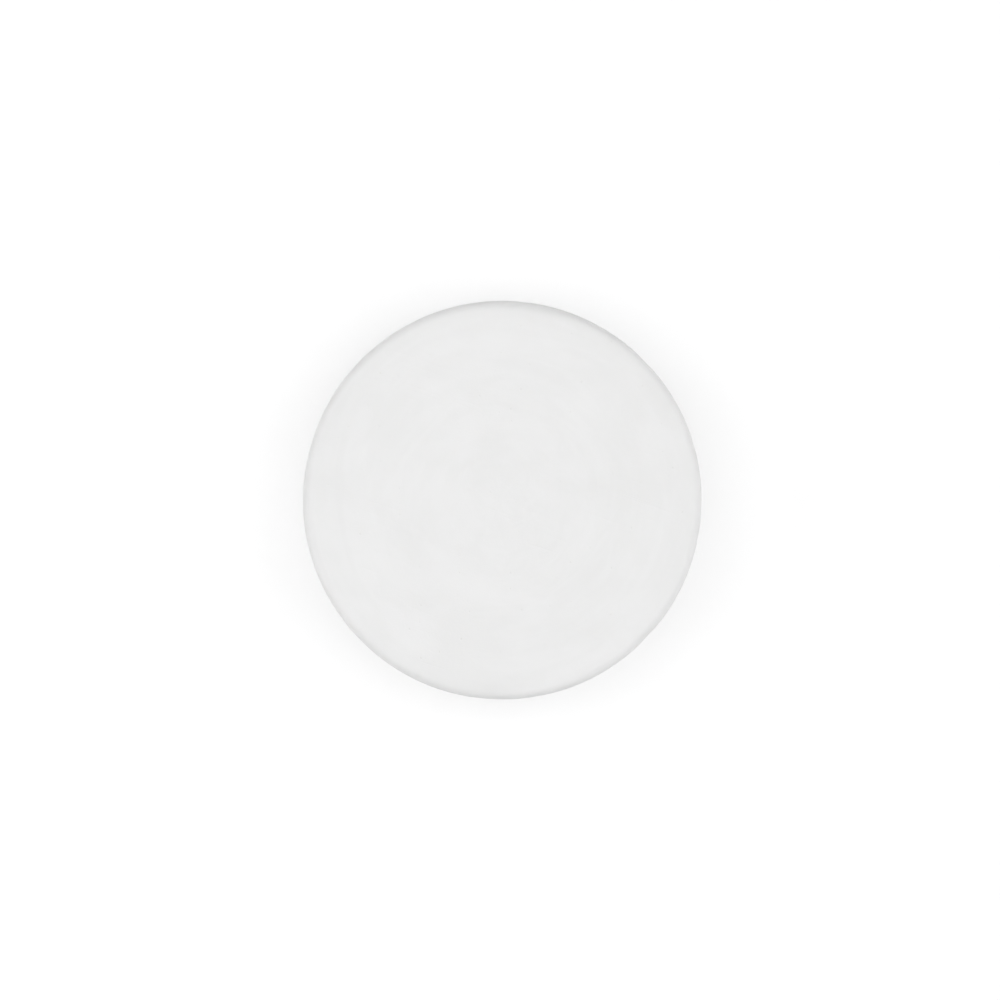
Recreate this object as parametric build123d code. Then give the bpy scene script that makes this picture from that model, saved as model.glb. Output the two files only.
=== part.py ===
# Shaving soap puck: one solid disc of hard white soap, pressed between two die halves.
#
# Both faces are flat in the middle, fall away slowly over a shoulder and turn into the side
# wall round a small edge. The wall leans out slightly from each edge to the parting line,
# the faint trimmed ridge where the die halves met. Nothing is inside it and nothing moves.
#
# Frame: the puck lies on one face, with +Z up along its axis.
# Origin: the centre of the face it lies on.
# Lengths are in millimetres and angles in degrees.

from build123d import *

import os
from math import atan, cos, degrees, radians, sin, tan

# ---- driving dimensions ---------------------------------------------------------------
puck_diameter = 60.0  # over the parting line, where the puck is widest
puck_thickness = 22.0  # flat face to flat face

shoulder_width = 2.7  # ring over which each face falls away
shoulder_drop = 0.31  # how far it falls over that ring
edge_radius = 1.7  # between shoulder and side wall
draft_angle = 0.6  # how far the wall leans out towards the parting line

parting_width = 0.5  # height of the ridge, along the wall
parting_height = 0.10  # how far the ridge stands out of the wall

# ---- worked out from them -------------------------------------------------------------
middle = puck_thickness / 2.0
shoulder_angle = degrees(2.0 * atan(shoulder_drop / shoulder_width))
shoulder_radius = shoulder_width / sin(radians(shoulder_angle))
edge_angle = 90.0 - draft_angle - shoulder_angle

# how far the edge arc reaches, outwards and upwards
edge_out = edge_radius * (cos(radians(draft_angle)) - sin(radians(shoulder_angle)))
edge_up = edge_radius * (cos(radians(shoulder_angle)) - sin(radians(draft_angle)))

wall_radius = puck_diameter / 2.0 - parting_height
wall_top = middle - parting_width / 2.0
wall_out = (wall_top - shoulder_drop - edge_up) * tan(radians(draft_angle))

flat_radius = wall_radius - wall_out - edge_out - shoulder_width


def lower_outline():
    """The profile from the centre of the lower face to the foot of the ridge, as
    (distance from the axis, height)."""
    face = Line((0.0, 0.0), (flat_radius, 0.0))
    shoulder = JernArc(face @ 1, face % 1, shoulder_radius, shoulder_angle)
    edge = JernArc(shoulder @ 1, shoulder % 1, edge_radius, edge_angle)
    wall = Line(edge @ 1, (wall_radius, wall_top))
    return [face, shoulder, edge, wall]


def ridge_outline():
    """The parting line's low arc, from the lower wall to the upper one."""
    return ThreePointArc(
        (wall_radius, wall_top),
        (puck_diameter / 2.0, middle),
        (wall_radius, puck_thickness - wall_top),
    )


def soap_puck():
    """The whole puck, turned from one closed outline."""
    lower = lower_outline()
    mirror_plane = Plane.XZ.offset(-middle)  # offset is along the plane's -Y normal
    upper = [mirror(edge, mirror_plane) for edge in lower]
    axis_line = Line((0.0, 0.0), (0.0, puck_thickness))
    outline = make_face([*lower, ridge_outline(), *upper, axis_line])
    return revolve(Plane.XZ * outline, Axis.Z)


parts = {"soap_puck": soap_puck()}

os.makedirs("parts", exist_ok=True)
for node, solid in parts.items():
    export_step(solid, f"parts/{node}.step")
    print(node, "volume", round(solid.volume, 1), "size", solid.bounding_box().size)
print("flat part of each face: radius", round(flat_radius, 2))
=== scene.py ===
"""Looks of the shaving soap puck: a pressed disc of hard white soap on a white studio table.

The puck lies flat in the frame's own axes, +Z up. The camera looks straight down on the
lathering face, with +Y up in the picture. Lengths are in metres and angles in degrees.
"""

from math import atan, cos, degrees, exp, pi, radians, sin, tan
from random import Random

import bmesh
import bpy
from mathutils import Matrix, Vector, noise


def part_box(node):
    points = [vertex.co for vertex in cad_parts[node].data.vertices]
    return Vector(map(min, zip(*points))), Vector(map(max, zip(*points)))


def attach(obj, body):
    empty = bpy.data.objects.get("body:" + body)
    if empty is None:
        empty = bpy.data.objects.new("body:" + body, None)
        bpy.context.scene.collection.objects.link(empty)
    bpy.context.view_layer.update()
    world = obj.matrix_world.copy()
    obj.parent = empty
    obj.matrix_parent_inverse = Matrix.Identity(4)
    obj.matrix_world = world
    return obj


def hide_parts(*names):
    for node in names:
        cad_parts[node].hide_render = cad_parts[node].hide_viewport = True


MM = 0.001

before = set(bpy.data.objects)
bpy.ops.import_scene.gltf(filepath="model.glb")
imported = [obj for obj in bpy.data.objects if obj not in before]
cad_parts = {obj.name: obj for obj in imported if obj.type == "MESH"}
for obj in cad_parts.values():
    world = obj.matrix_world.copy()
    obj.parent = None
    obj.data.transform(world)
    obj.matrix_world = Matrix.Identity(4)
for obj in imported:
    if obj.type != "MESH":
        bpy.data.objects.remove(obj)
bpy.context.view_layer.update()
low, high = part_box("soap_puck")

# ---- the puck's sizes -----------------------------------------------------------------
radius = (high.x - low.x) / 2
thickness = high.z - low.z
middle = thickness / 2

shoulder_width = 2.7 * MM  # ring over which each face falls away
shoulder_drop = 0.31 * MM  # how far it falls over that ring
edge_radius = 1.7 * MM  # between shoulder and side wall
draft_angle = 0.6  # how far the wall leans out towards the parting line
parting_width = 0.5 * MM  # height of the ridge where the die halves met
parting_height = 0.10 * MM  # how far that ridge stands out

shoulder_angle = degrees(2 * atan(shoulder_drop / shoulder_width))
shoulder_radius = shoulder_width / sin(radians(shoulder_angle))
edge_end = 90 - draft_angle  # direction in which the edge's arc ends
wall_radius = radius - parting_height
wall_top = middle - parting_width / 2

# ---- what drying, the press and handling did to it --------------------------------------
DISH_DEPTH = 0.10 * MM  # the middle of each face dries last and sinks
DISH_REACH = 0.86  # share of the radius at which that sinking ends
WAVE_DEPTH = 0.06 * MM  # slow unevenness of the whole surface
WAVE_LENGTH = 15 * MM
PEEL_DEPTH = 0.010 * MM  # finer unevenness
PEEL_LENGTH = 2.2 * MM
WALL_START = 0.6 * MM  # distance from a face's plane where the wall's wear sets in
WALL_FULL = 2.6 * MM  # and where there is none of the face's left
DRAG_DEPTH = 0.045 * MM  # upright marks from sliding out of the die
DRAG_LENGTH = 1.0 * MM  # their spacing round the wall
DRAG_HEIGHT = 26 * MM  # how slowly they change up the wall
DRAG_PATCH = 9 * MM  # size of the patches with more or fewer of them
DRAG_SHARPNESS = 3.0  # the higher, the narrower each mark
DIE_OFFSET = (0.09 * MM, -0.05 * MM)  # how far the upper die half closes off the lower one
PARTING_WANDER = 0.16 * MM  # how far the parting line strays up and down
PARTING_WANDER_LENGTH = 14 * MM
PARTING_NEAR = 0.5 * MM  # the wall moves with that line up to this distance from it
PARTING_FAR = 3.5 * MM  # and stands still from this distance
TRIM_LENGTH = 5 * MM  # how soon the trimmed ridge's height changes round the wall
TRIM_MEAN = 0.7  # share of the ridge's height that is left, in the middle of its range
TRIM_SWING = 0.9  # how far that share strays each way, before the limits
TRIM_LEAST = 0.1  # the lower limit; the upper one is the whole ridge
NICK_SEED = 4
NICK_COUNT = 32  # small dents along the edges
NICKS_ABOVE = 0.55  # share of them on the upper edge
NICK_INSET = (0.2 * MM, 1.2 * MM)  # least and most, in from the puck's greatest radius
NICK_HEIGHT = (0.3 * MM, 1.8 * MM)  # from the nearer face
NICK_SIZE = (0.4 * MM, 1.4 * MM)
NICK_DEPTH = (0.05 * MM, 0.22 * MM)
NICK_REACH = 3  # a dent is too shallow to count this many sizes from its centre

# ---- the soap's looks: a range is where its noise starts and ends to count ----------------
DARK_SOAP = (0.758, 0.758, 0.756, 1)  # the marbling's two shades
LIGHT_SOAP = (0.780, 0.780, 0.780, 1)
MARBLING_RANGE = (0.35, 0.65)
# painted shade: the pores are coloured darker to stand in for the shade inside them
PAINTED_PORE_SHADOW = (0.70, 0.70, 0.695, 1)
CLOUD_LENGTH = 11 * MM
SWIRL_PITCH = 2.6 * MM  # from one turn of the milled grain to the next
SWIRL_RISE = 30 * MM  # how slowly the grain changes up the wall
SWIRL_TURN = 1.6  # how much it changes on the way round
SWIRL_SHARE = 0.4  # of the marbling; the clouds are the rest
RUBBED_ROUGHNESS = 0.38
PRESSED_ROUGHNESS = 0.56
RUBBED_LENGTH = 7 * MM
RUBBED_RANGE = (0.3, 0.7)
SOAP_IOR = 1.46
SCATTER_DEPTH = 0.3 * MM  # how far light spreads under the surface
SCATTER_SHARES = (1.0, 0.96, 0.92)  # of that depth, for red, green and blue light
GRAIN_LENGTH = 0.30 * MM
GRAIN_HEIGHT = 0.010  # like all the relief heights here, in millimetres
UPRIGHT_LENGTH = 0.40 * MM  # fine streaks up the wall
UPRIGHT_STRETCH = 0.02  # how slowly they change along their length
UPRIGHT_HEIGHT = 0.020
TORN_LENGTH = 0.35 * MM  # torn grain along the parting line
TORN_HEIGHT = 0.070
TORN_INNER = 0.2 * MM  # as torn as it gets up to this distance from the line
TORN_OUTER = 0.9 * MM
PORE_SPACING = 1.5 * MM
PORELESS_SHARE = 0.35  # of the places where a pore could be
PORE_LARGEST = 0.115  # radius, as a share of the spacing
PORE_SLOPE = 0.045  # width of a pore's slope, as a share of the spacing
PORE_HEIGHT = -0.050
PORES_ON_FACE = 0.5  # how deep they are on the faces, if those on the wall are 1
RAGGED_LENGTH = 0.15 * MM  # pore outlines stray this much, this often
RAGGED_SHIFT = 0.16 * MM
SCRATCH_HEADING = 20
SCRATCH_SPACING = 1.4 * MM
SCRATCH_STRETCH = 0.025  # how slowly scratches change along their length
SCRATCH_WIDTH = 0.012  # of the noise that they follow
SCRATCH_PATCH = 9 * MM
SCRATCH_PATCH_RANGE = (0.50, 0.62)
SCRATCH_HEIGHT = -0.012
WALL_TILT = 0.25  # a spot is all wall if its normal points up or down less than this
FACE_TILT = 0.85  # and all face if it does so more than this

# ---- the table and the picture ----------------------------------------------------------
TABLE_SIZE = 8  # metres
TABLE_SHADE = (0.93, 0.93, 0.93, 1)
TABLE_ROUGHNESS = 0.12
TABLE_GLOW = 0.05
FADE_START = 45 * MM  # distance from the puck's axis where the table starts to fade to white
FADE_END = 400 * MM
WHITE = (1, 1, 1, 1)
PICTURE_WIDTH = 148.7 * MM  # how much the picture spans at the lathering face
CAMERA_SIDESTEP = -0.3 * MM  # the puck stands this little off the picture's middle
LENS = 105  # millimetres, like the sensor's width
SENSOR_WIDTH = 36

# ---- the lights: places, sizes in metres and radiances ------------------------------------
OVERHEAD = {"azimuth": 90, "elevation": 90, "distance": 1.2, "size": (1.5, 1.5), "radiance": 1.4}
NEAR_LEFT = {"azimuth": 165, "elevation": 60, "distance": 0.36, "size": (0.26, 0.26), "radiance": 0.5}
HIGH_BOX = {"elevation": 50, "distance": 0.9, "size": (0.9, 0.6)}
LOW_BOX = {"elevation": 26, "distance": 0.9, "size": (1.2, 0.75)}
SIDES = {"right": 0, "back": 90, "left": 180, "front": 270}  # azimuths
HIGH_RADIANCES = {"right": 0.5, "back": 0.6, "front": 0.35}
LOW_RADIANCES = {"right": 1.2, "left": 1.3, "front": 0.4}

# ---- mesh density ---------------------------------------------------------------------
FACE_CELLS = 128  # cells across each flat face; the rings round it have four times as many
SQUARE_SIZE = 0.78  # how wide the square cells in a face's middle are, if ring cells are 1
SHOULDER_RINGS = 7
EDGE_RINGS = 10
WALL_RINGS = 22
RIDGE_RINGS = 6


def smoothstep(low_edge, high_edge, value):
    """0 below low_edge, 1 above high_edge and an S-curve between."""
    t = min(max((value - low_edge) / (high_edge - low_edge), 0.0), 1.0)
    return t * t * (3 - 2 * t)


# ---- pressed shape --------------------------------------------------------------------
def arc(start, angle_from, angle_to, arc_radius, steps):
    """Points after start along an arc whose direction turns between two angles."""
    points = []
    for i in range(1, steps + 1):
        angle = radians(angle_from + (angle_to - angle_from) * i / steps)
        out = arc_radius * (sin(angle) - sin(radians(angle_from)))
        up = arc_radius * (cos(radians(angle_from)) - cos(angle))
        points.append((start[0] + out, start[1] + up))
    return points


def line(start, end, steps):
    """Evenly spaced points after start, up to end."""
    points = []
    for i in range(1, steps + 1):
        t = i / steps
        points.append((start[0] + (end[0] - start[0]) * t, start[1] + (end[1] - start[1]) * t))
    return points


def lower_profile():
    """(distance from axis, height) from the rim of the lower flat face to the ridge's foot."""
    edge_out = edge_radius * (sin(radians(edge_end)) - sin(radians(shoulder_angle)))
    edge_up = edge_radius * (cos(radians(shoulder_angle)) - cos(radians(edge_end)))
    wall_out = (wall_top - shoulder_drop - edge_up) * tan(radians(draft_angle))
    points = [(wall_radius - wall_out - edge_out - shoulder_width, 0.0)]
    points += arc(points[-1], 0.0, shoulder_angle, shoulder_radius, SHOULDER_RINGS)
    points += arc(points[-1], shoulder_angle, edge_end, edge_radius, EDGE_RINGS)
    points += line(points[-1], (wall_radius, wall_top), WALL_RINGS)
    return points


def whole_profile():
    """The profile from the rim of the lower flat face round to the rim of the upper one."""
    lower = lower_profile()
    ridge = []
    for i in range(1, RIDGE_RINGS):
        t = i / RIDGE_RINGS
        ridge.append((wall_radius + parting_height * sin(pi * t), wall_top + parting_width * t))
    upper = [(out, thickness - up) for out, up in reversed(lower)]
    return lower + ridge + upper


def face_point(i, j):
    """Where cell corner i, j of a square grid goes in a disc of radius 1: square cells in the
    middle that turn into evenly spaced rings at the rim."""
    u = 2 * i / FACE_CELLS - 1
    v = 2 * j / FACE_CELLS - 1
    reach = max(abs(u), abs(v))
    if reach == 0:
        return 0.0, 0.0
    if abs(u) >= abs(v):
        angle = pi / 4 * v / u + (pi if u < 0 else 0)
    else:
        angle = pi / 2 - pi / 4 * u / v + (pi if v < 0 else 0)
    ringed = smoothstep(0.0, 1.0, reach)
    square = SQUARE_SIZE * (1 - ringed)
    return ringed * reach * cos(angle) + square * u, ringed * reach * sin(angle) + square * v


def rim_places():
    """The grid's border corners, anticlockwise from the corner at -45 degrees."""
    steps = range(FACE_CELLS)
    right = [(FACE_CELLS, k) for k in steps]
    top = [(FACE_CELLS - k, FACE_CELLS) for k in steps]
    left = [(0, FACE_CELLS - k) for k in steps]
    bottom = [(k, 0) for k in steps]
    return right + top + left + bottom


def add_face(mesh, face_radius, height, upward):
    """One flat face. Returns its rim, anticlockwise."""
    corners = {}
    for i in range(FACE_CELLS + 1):
        for j in range(FACE_CELLS + 1):
            x, y = face_point(i, j)
            corners[i, j] = mesh.verts.new((face_radius * x, face_radius * y, height))
    for i in range(FACE_CELLS):
        for j in range(FACE_CELLS):
            cell = [corners[i, j], corners[i + 1, j], corners[i + 1, j + 1], corners[i, j + 1]]
            mesh.faces.new(cell if upward else cell[::-1])
    return [corners[place] for place in rim_places()]


def add_ring(mesh, ring_radius, height):
    """One ring of corners, anticlockwise from -45 degrees like a face's rim."""
    ring = []
    for k in range(4 * FACE_CELLS):
        angle = pi * k / (2 * FACE_CELLS) - pi / 4
        ring.append(mesh.verts.new((ring_radius * cos(angle), ring_radius * sin(angle), height)))
    return ring


def bridge(mesh, below, above):
    """A band of faces between two rings."""
    for k, corner in enumerate(below):
        after = (k + 1) % len(below)
        mesh.faces.new((corner, below[after], above[after], above[k]))


def pressed_shape():
    """The shape that the die gives, before wear."""
    mesh = bmesh.new()
    profile = whole_profile()
    rings = [add_face(mesh, *profile[0], upward=False)]
    rings += [add_ring(mesh, out, up) for out, up in profile[1:-1]]
    rings.append(add_face(mesh, *profile[-1], upward=True))
    for below, above in zip(rings, rings[1:]):
        bridge(mesh, below, above)
    mesh.normal_update()
    return mesh


# ---- wear -----------------------------------------------------------------------------
def nicks():
    """(centre, size, depth) of the small dents along both edges."""
    dice = Random(NICK_SEED)
    found = []
    for _ in range(NICK_COUNT):
        angle = dice.uniform(0, 2 * pi)
        inset = dice.uniform(*NICK_INSET)
        height = dice.uniform(*NICK_HEIGHT)
        if dice.random() < NICKS_ABOVE:
            height = thickness - height
        out = radius - inset
        centre = Vector((out * cos(angle), out * sin(angle), height))
        size = dice.uniform(*NICK_SIZE)
        depth = dice.uniform(*NICK_DEPTH)
        found.append((centre, size, depth))
    return found


def wall_share(point):
    """1 on the side wall, 0 on the faces, with the edges between."""
    from_face = min(point.z, thickness - point.z)
    return smoothstep(WALL_START, WALL_FULL, from_face)


def drag_mark(point):
    """Depth of the upright marks on the side wall."""
    round_wall = Vector((point.x / DRAG_LENGTH, point.y / DRAG_LENGTH, point.z / DRAG_HEIGHT))
    streak = abs(noise.noise(round_wall))
    patch = 0.5 + 0.5 * noise.noise(point / DRAG_PATCH)
    return DRAG_DEPTH * wall_share(point) * patch * (1 - min(DRAG_SHARPNESS * streak, 1.0))


def trimmed_ridge(point):
    """How much of the parting ridge the trimming knife took off here."""
    t = (point.z - wall_top) / parting_width
    if not 0 < t < 1:
        return 0.0
    left_over = TRIM_MEAN + TRIM_SWING * noise.noise(Vector((point.x, point.y, 0.0)) / TRIM_LENGTH)
    return parting_height * sin(pi * t) * (1 - min(max(left_over, TRIM_LEAST), 1.0))


def worn_depth(point, dents):
    """How far the real surface lies below the pressed one."""
    reach = Vector((point.x, point.y)).length / radius
    face = 1 - wall_share(point)
    depth = face * DISH_DEPTH * (1 - smoothstep(0.0, DISH_REACH, reach))
    depth += WAVE_DEPTH * (0.5 + 0.5 * noise.noise(point / WAVE_LENGTH))
    depth += PEEL_DEPTH * (0.5 + 0.5 * noise.noise(point / PEEL_LENGTH))
    depth += drag_mark(point) + trimmed_ridge(point)
    for centre, size, dent in dents:
        apart = (point - centre).length / size
        if apart < NICK_REACH:
            depth += dent * exp(-apart * apart)
    return depth


def parting_shift(point):
    """How far the parting line strays up or down at this place on the wall."""
    near = 1 - smoothstep(PARTING_NEAR, PARTING_FAR, abs(point.z - middle))
    around = Vector((point.x, point.y, 0.0)) / PARTING_WANDER_LENGTH
    return PARTING_WANDER * near * noise.noise(around)


def die_shift(point):
    """How far the upper half was pressed out of line with the lower one."""
    share = smoothstep(wall_top, wall_top + parting_width, point.z)
    return Vector((*DIE_OFFSET, 0.0)) * (share - 0.5)


def wear(mesh):
    """Moves every corner inwards to the dried, handled surface."""
    dents = nicks()
    moved = []
    for vert in mesh.verts:
        place = vert.co - vert.normal * worn_depth(vert.co, dents) + die_shift(vert.co)
        place.z += parting_shift(vert.co)
        moved.append(place)
    for vert, place in zip(mesh.verts, moved):
        vert.co = place


def soap_puck():
    """The puck as one closed mesh, in place of the plain CAD solid."""
    mesh = pressed_shape()
    wear(mesh)
    shape = bpy.data.meshes.new("pressed_soap")
    mesh.to_mesh(shape)
    mesh.free()
    shape.shade_smooth()
    puck = bpy.data.objects.new("pressed_soap", shape)
    bpy.context.scene.collection.objects.link(puck)
    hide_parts("soap_puck")
    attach(puck, "root")
    return puck


# ---- materials ------------------------------------------------------------------------
class Nodes:
    """A short way to write a material's node tree."""

    def __init__(self, name):
        self.material = bpy.data.materials.new(name)
        self.material.use_nodes = True
        self.tree = self.material.node_tree
        self.shader = self.tree.nodes["Principled BSDF"]
        self.output = self.tree.nodes["Material Output"]

    def put(self, node, socket, value):
        """Links value to a socket if it comes from another node, or else sets it."""
        if isinstance(value, bpy.types.NodeSocket):
            self.tree.links.new(value, node.inputs[socket])
        else:
            node.inputs[socket].default_value = value

    def add(self, kind, inputs, **settings):
        """A new node."""
        node = self.tree.nodes.new(kind)
        for name, value in settings.items():
            setattr(node, name, value)
        for socket, value in inputs.items():
            self.put(node, socket, value)
        return node

    def math(self, operation, *values):
        """The result of one sum."""
        inputs = dict(enumerate(values))
        return self.add("ShaderNodeMath", inputs, operation=operation).outputs[0]

    def ramp(self, value, from_low, from_high, to_low, to_high):
        """Value carried smoothly from one range to another."""
        inputs = {"Value": value, "From Min": from_low, "From Max": from_high,
                  "To Min": to_low, "To Max": to_high}
        node = self.add("ShaderNodeMapRange", inputs, interpolation_type="SMOOTHSTEP")
        return node.outputs["Result"]

    def noise(self, vector, length, detail=2.0, distortion=0.0):
        """Noise whose features are about this long."""
        inputs = {"Vector": vector, "Scale": 1 / length, "Detail": detail,
                  "Distortion": distortion}
        return self.add("ShaderNodeTexNoise", inputs).outputs["Fac"]

    def stretched(self, vector, scale):
        """Coordinates scaled along each axis."""
        node = self.add("ShaderNodeMapping", {"Vector": vector, "Scale": scale})
        return node.outputs["Vector"]


def side_share(n):
    """1 on the side wall, 0 on the faces, smooth over the edges."""
    normal = n.add("ShaderNodeNewGeometry", {}).outputs["Normal"]
    upward = n.add("ShaderNodeSeparateXYZ", {"Vector": normal}).outputs["Z"]
    return n.ramp(n.math("ABSOLUTE", upward), WALL_TILT, FACE_TILT, 1.0, 0.0)


def swirl(n, place):
    """The soap's grain, from 0 to 1: the milled strand is wound and drawn out as it leaves the
    extruder, so it runs round the axis on the faces and along it on the wall."""
    axes = n.add("ShaderNodeSeparateXYZ", {"Vector": place}).outputs
    flat = n.add("ShaderNodeCombineXYZ", {"X": axes["X"], "Y": axes["Y"]}).outputs["Vector"]
    out = n.add("ShaderNodeVectorMath", {0: flat}, operation="LENGTH").outputs["Value"]
    heading = n.add("ShaderNodeVectorMath", {0: flat}, operation="NORMALIZE").outputs["Vector"]
    heading = n.add("ShaderNodeVectorMath", {0: heading, "Scale": SWIRL_TURN}, operation="SCALE")
    climb = n.math("ADD", n.math("DIVIDE", out, SWIRL_PITCH),
                   n.math("DIVIDE", axes["Z"], SWIRL_RISE))
    lift = n.add("ShaderNodeCombineXYZ", {"Z": climb}).outputs["Vector"]
    wound = n.add("ShaderNodeVectorMath", {0: heading.outputs["Vector"], 1: lift}).outputs["Vector"]
    return n.noise(wound, 1.0, detail=4.0, distortion=1.4)


def pores(n, place):
    """1 in the ragged pin pores, 0 between them."""
    ragged = n.add("ShaderNodeTexNoise", {"Vector": place, "Scale": 1 / RAGGED_LENGTH})
    shifted = n.add("ShaderNodeVectorMath", {
        0: ragged.outputs["Color"], 1: (RAGGED_SHIFT,) * 3, 2: place,
    }, operation="MULTIPLY_ADD").outputs["Vector"]
    cells = n.add("ShaderNodeTexVoronoi", {"Vector": shifted, "Scale": 1 / PORE_SPACING})
    dice = n.add("ShaderNodeSeparateColor", {"Color": cells.outputs["Color"]})
    size = n.ramp(dice.outputs["Red"], PORELESS_SHARE, 1.0, 0.0, PORE_LARGEST)
    inside = n.math("SUBTRACT", size, cells.outputs["Distance"])
    return n.ramp(inside, 0.0, PORE_SLOPE, 0.0, 1.0)


def scratches(n, place):
    """1 on hairline scratches that run roughly one way, 0 between them."""
    rotation = (0, 0, radians(SCRATCH_HEADING))
    turned = n.add("ShaderNodeMapping", {"Vector": place, "Rotation": rotation}).outputs["Vector"]
    drawn_out = n.stretched(turned, (SCRATCH_STRETCH, 1.0, 1.0))
    lines = n.noise(drawn_out, SCRATCH_SPACING, detail=0.0)
    off_line = n.math("ABSOLUTE", n.math("SUBTRACT", lines, 0.5))
    patches = n.ramp(n.noise(place, SCRATCH_PATCH), *SCRATCH_PATCH_RANGE, 0.0, 1.0)
    return n.math("MULTIPLY", n.ramp(off_line, 0.0, SCRATCH_WIDTH, 1.0, 0.0), patches)


def torn_band(n, place):
    """Rough grain along the parting line, where the flash was trimmed off."""
    height = n.add("ShaderNodeSeparateXYZ", {"Vector": place}).outputs["Z"]
    off_line = n.math("ABSOLUTE", n.math("SUBTRACT", height, middle))
    band = n.ramp(off_line, TORN_INNER, TORN_OUTER, 1.0, 0.0)
    return n.math("MULTIPLY", band, n.noise(place, TORN_LENGTH, detail=3.0))


def soap_colour(n, place, pits):
    """Slow clouds and the milled grain, with painted shade darkening the pores."""
    clouds = n.noise(place, CLOUD_LENGTH, detail=3.0, distortion=0.6)
    clouds = n.math("MULTIPLY", clouds, 1 - SWIRL_SHARE)
    marbling = n.math("MULTIPLY_ADD", swirl(n, place), SWIRL_SHARE, clouds)
    marbled = n.add("ShaderNodeMix", {
        "Factor": n.ramp(marbling, *MARBLING_RANGE, 0.0, 1.0),
        "A": DARK_SOAP,
        "B": LIGHT_SOAP,
    }, data_type="RGBA").outputs["Result"]
    # painted shade: darker colour where the pits are, for the shade that falls in them
    inputs = {"Factor": pits, "A": marbled, "B": PAINTED_PORE_SHADOW}
    return n.add("ShaderNodeMix", inputs, data_type="RGBA").outputs["Result"]


def soap_relief(n, place, side, pits):
    """Relief too fine for the mesh, in millimetres."""
    grain = n.noise(place, GRAIN_LENGTH, detail=3.0)
    upright = n.noise(n.stretched(place, (1.0, 1.0, UPRIGHT_STRETCH)), UPRIGHT_LENGTH, detail=3.0)
    on_face = n.math("SUBTRACT", 1.0, side)
    relief = n.math("MULTIPLY", grain, GRAIN_HEIGHT)
    for height, pattern in (
        (UPRIGHT_HEIGHT, n.math("MULTIPLY", upright, side)),
        (TORN_HEIGHT, torn_band(n, place)),
        (PORE_HEIGHT, pits),
        (SCRATCH_HEIGHT, n.math("MULTIPLY", scratches(n, place), on_face)),
    ):
        relief = n.math("MULTIPLY_ADD", pattern, height, relief)
    bump = n.add("ShaderNodeBump", {"Height": relief, "Distance": 1.0 * MM})
    return bump.outputs["Normal"]


def soap_material():
    """Hard white milled soap: satin, slightly translucent and faintly marbled."""
    n = Nodes("milled_soap")
    place = n.add("ShaderNodeTexCoord", {}).outputs["Object"]
    side = side_share(n)
    pits = n.math("MULTIPLY", pores(n, place), n.ramp(side, 0.0, 1.0, PORES_ON_FACE, 1.0))
    rubbed = n.noise(place, RUBBED_LENGTH, detail=4.0, distortion=0.8)
    roughness = n.ramp(rubbed, *RUBBED_RANGE, RUBBED_ROUGHNESS, PRESSED_ROUGHNESS)

    n.shader.subsurface_method = "BURLEY"
    for socket, value in (
        ("Base Color", soap_colour(n, place, pits)),
        ("Roughness", roughness),
        ("IOR", SOAP_IOR),
        ("Subsurface Weight", 1.0),
        ("Subsurface Radius", SCATTER_SHARES),
        ("Subsurface Scale", SCATTER_DEPTH),
        ("Normal", soap_relief(n, place, side, pits)),
    ):
        n.put(n.shader, socket, value)
    return n.material


def table_material():
    """White gloss acrylic that fades into the white surroundings away from the puck."""
    n = Nodes("white_acrylic")
    n.put(n.shader, "Base Color", TABLE_SHADE)
    n.put(n.shader, "Roughness", TABLE_ROUGHNESS)
    n.put(n.shader, "Emission Color", WHITE)
    n.put(n.shader, "Emission Strength", TABLE_GLOW)
    place = n.add("ShaderNodeTexCoord", {}).outputs["Object"]
    away = n.add("ShaderNodeVectorMath", {0: place}, operation="LENGTH").outputs["Value"]
    white = n.add("ShaderNodeEmission", {"Color": WHITE, "Strength": 1.0})
    fade = n.add("ShaderNodeMixShader", {
        "Fac": n.ramp(away, FADE_START, FADE_END, 0.0, 1.0),
        1: n.shader.outputs["BSDF"],
        2: white.outputs["Emission"],
    })
    n.put(n.output, "Surface", fade.outputs["Shader"])
    return n.material


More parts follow.
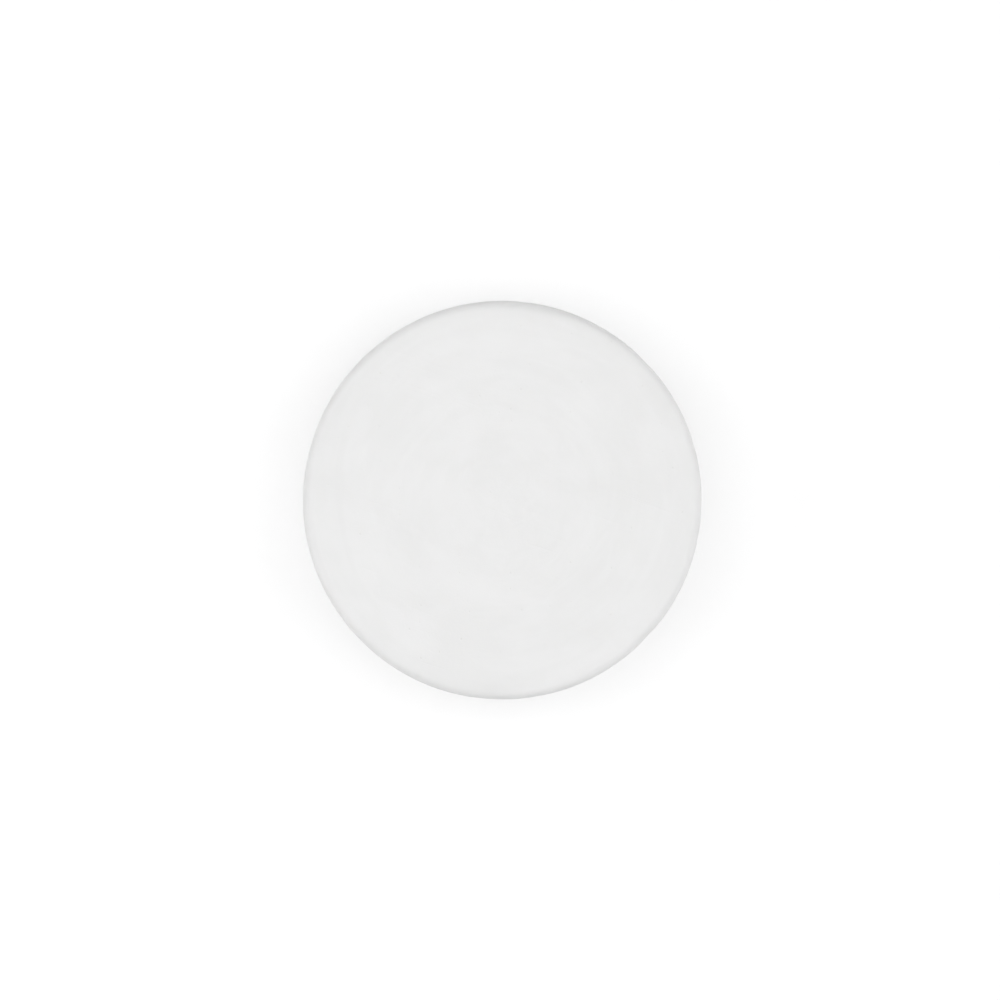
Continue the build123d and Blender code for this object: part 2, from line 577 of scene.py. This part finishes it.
# ---- table, lights and camera ---------------------------------------------------------
def studio_table():
    """The white table, wide enough to reach the horizon."""
    bpy.ops.mesh.primitive_plane_add(size=TABLE_SIZE, location=(0, 0, low.z))
    table = bpy.context.object
    table.name = "table"
    table.data.materials.append(table_material())


def white_surroundings():
    """A white backdrop that the camera and reflections see, and that adds no light itself."""
    world = bpy.data.worlds.new("white_surroundings")
    bpy.context.scene.world = world
    world.use_nodes = True
    backdrop = world.node_tree.nodes["Background"].inputs
    backdrop["Color"].default_value = WHITE
    backdrop["Strength"].default_value = 1.0
    world.cycles_visibility.diffuse = False


def softbox(name, azimuth, elevation, distance, size, radiance):
    """A soft rectangular light that faces the lathering face. Azimuth 0 is +X and 90 is +Y."""
    data = bpy.data.lights.new(name, "AREA")
    data.shape = "RECTANGLE"
    data.size, data.size_y = size
    data.energy = radiance * pi * data.size * data.size_y
    towards = Vector((
        cos(radians(elevation)) * cos(radians(azimuth)),
        cos(radians(elevation)) * sin(radians(azimuth)),
        sin(radians(elevation)),
    ))
    light = bpy.data.objects.new(name, data)
    light.location = Vector((0, 0, high.z)) + distance * towards
    light.rotation_mode = "QUATERNION"
    light.rotation_quaternion = towards.to_track_quat("Z", "Y")
    light.visible_camera = False
    bpy.context.scene.collection.objects.link(light)


def studio_lights():
    """A white tent: a large box overhead, others round the sides, and one close by on the left."""
    softbox("overhead", **OVERHEAD)
    softbox("near_left", **NEAR_LEFT)
    for side, radiance in HIGH_RADIANCES.items():
        softbox("high_" + side, azimuth=SIDES[side], radiance=radiance, **HIGH_BOX)
    for side, radiance in LOW_RADIANCES.items():
        softbox("low_" + side, azimuth=SIDES[side], radiance=radiance, **LOW_BOX)


def camera_above():
    """Looks straight down on the lathering face."""
    data = bpy.data.cameras.new("camera")
    data.lens = LENS
    data.sensor_width = SENSOR_WIDTH
    camera = bpy.data.objects.new("camera", data)
    distance = PICTURE_WIDTH * LENS / SENSOR_WIDTH
    camera.location = (CAMERA_SIDESTEP, 0, high.z + distance)
    bpy.context.scene.collection.objects.link(camera)
    bpy.context.scene.camera = camera
    bpy.context.scene.view_settings.view_transform = "Standard"


puck = soap_puck()
puck.data.materials.append(soap_material())
studio_table()
white_surroundings()
studio_lights()
camera_above()
